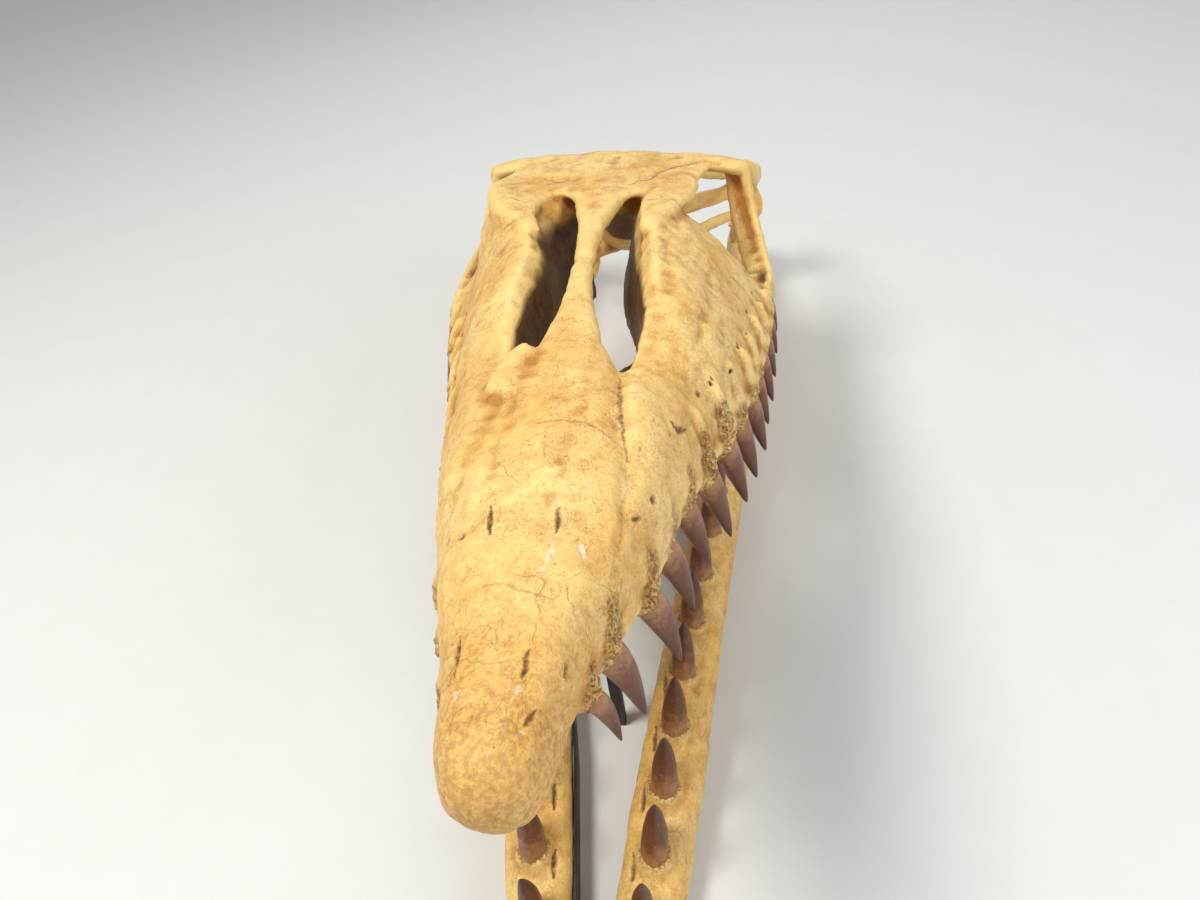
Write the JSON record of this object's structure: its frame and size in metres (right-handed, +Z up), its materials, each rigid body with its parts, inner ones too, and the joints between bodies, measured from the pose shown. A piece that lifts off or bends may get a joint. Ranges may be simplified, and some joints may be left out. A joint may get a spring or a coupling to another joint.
{
  "type": "fossil hainosaurus skull",
  "caption": "Fossil skull of a giant marine lizard with its toothed lower jaws, mouth open, lying on the jaws, with thin black metal supports.",
  "frame": {"origin": "middle of the part's outline in plan, on the surface that the lower jaws rest on", "axes": "+Z up, -Y towards the snout, +X towards the animal's left side"},
  "size_m": [0.4208, 1.347, 0.5171],
  "materials": {
    "fossil_bone": "matt, ochre to cream yellow, grained, with orange-brown hollows and fine dark cracks",
    "tooth_enamel": "satin, dark brown with grey-brown streaks and lighter specks near the base",
    "black_steel": "matt black"
  },
  "bodies": {
    "root": {"cranium": "fossil_bone", "crown_dentary_01_left": "tooth_enamel", "crown_dentary_01_right": "tooth_enamel", "crown_dentary_02_left": "tooth_enamel", "crown_dentary_02_right": "tooth_enamel", "crown_dentary_03_left": "tooth_enamel", "crown_dentary_03_right": "tooth_enamel", "crown_dentary_04_left": "tooth_enamel", "crown_dentary_04_right": "tooth_enamel", "crown_dentary_05_left": "tooth_enamel", "crown_dentary_05_right": "tooth_enamel", "crown_dentary_06_left": "tooth_enamel", "crown_dentary_06_right": "tooth_enamel", "crown_dentary_07_left": "tooth_enamel", "crown_dentary_07_right": "tooth_enamel", "crown_dentary_08_left": "tooth_enamel", "crown_dentary_08_right": "tooth_enamel", "crown_dentary_09_left": "tooth_enamel", "crown_dentary_09_right": "tooth_enamel", "crown_dentary_10_left": "tooth_enamel", "crown_dentary_10_right": "tooth_enamel", "crown_dentary_11_left": "tooth_enamel", "crown_dentary_11_right": "tooth_enamel", "crown_dentary_12_left": "tooth_enamel", "crown_dentary_12_right": "tooth_enamel", "crown_maxillary_01_left": "tooth_enamel", "crown_maxillary_01_right": "tooth_enamel", "crown_maxillary_02_left": "tooth_enamel", "crown_maxillary_02_right": "tooth_enamel", "crown_maxillary_03_left": "tooth_enamel", "crown_maxillary_03_right": "tooth_enamel", "crown_maxillary_04_left": "tooth_enamel", "crown_maxillary_04_right": "tooth_enamel", "crown_maxillary_05_left": "tooth_enamel", "crown_maxillary_05_right": "tooth_enamel", "crown_maxillary_06_left": "tooth_enamel", "crown_maxillary_06_right": "tooth_enamel", "crown_maxillary_07_left": "tooth_enamel", "crown_maxillary_07_right": "tooth_enamel", "crown_maxillary_08_left": "tooth_enamel", "crown_maxillary_08_right": "tooth_enamel", "crown_maxillary_09_left": "tooth_enamel", "crown_maxillary_09_right": "tooth_enamel", "crown_maxillary_10_left": "tooth_enamel", "crown_maxillary_10_right": "tooth_enamel", "crown_maxillary_11_left": "tooth_enamel", "crown_maxillary_11_right": "tooth_enamel", "crown_maxillary_12_left": "tooth_enamel", "crown_maxillary_12_right": "tooth_enamel", "crown_premaxillary_1_left": "tooth_enamel", "crown_premaxillary_1_right": "tooth_enamel", "crown_premaxillary_2_left": "tooth_enamel", "crown_premaxillary_2_right": "tooth_enamel", "mandible_left": "fossil_bone", "mandible_right": "fossil_bone", "quadrate_left": "fossil_bone", "quadrate_right": "fossil_bone", "support_post": "black_steel", "support_strap_left": "black_steel", "support_strap_right": "black_steel"}
  },
  "joints": []
}
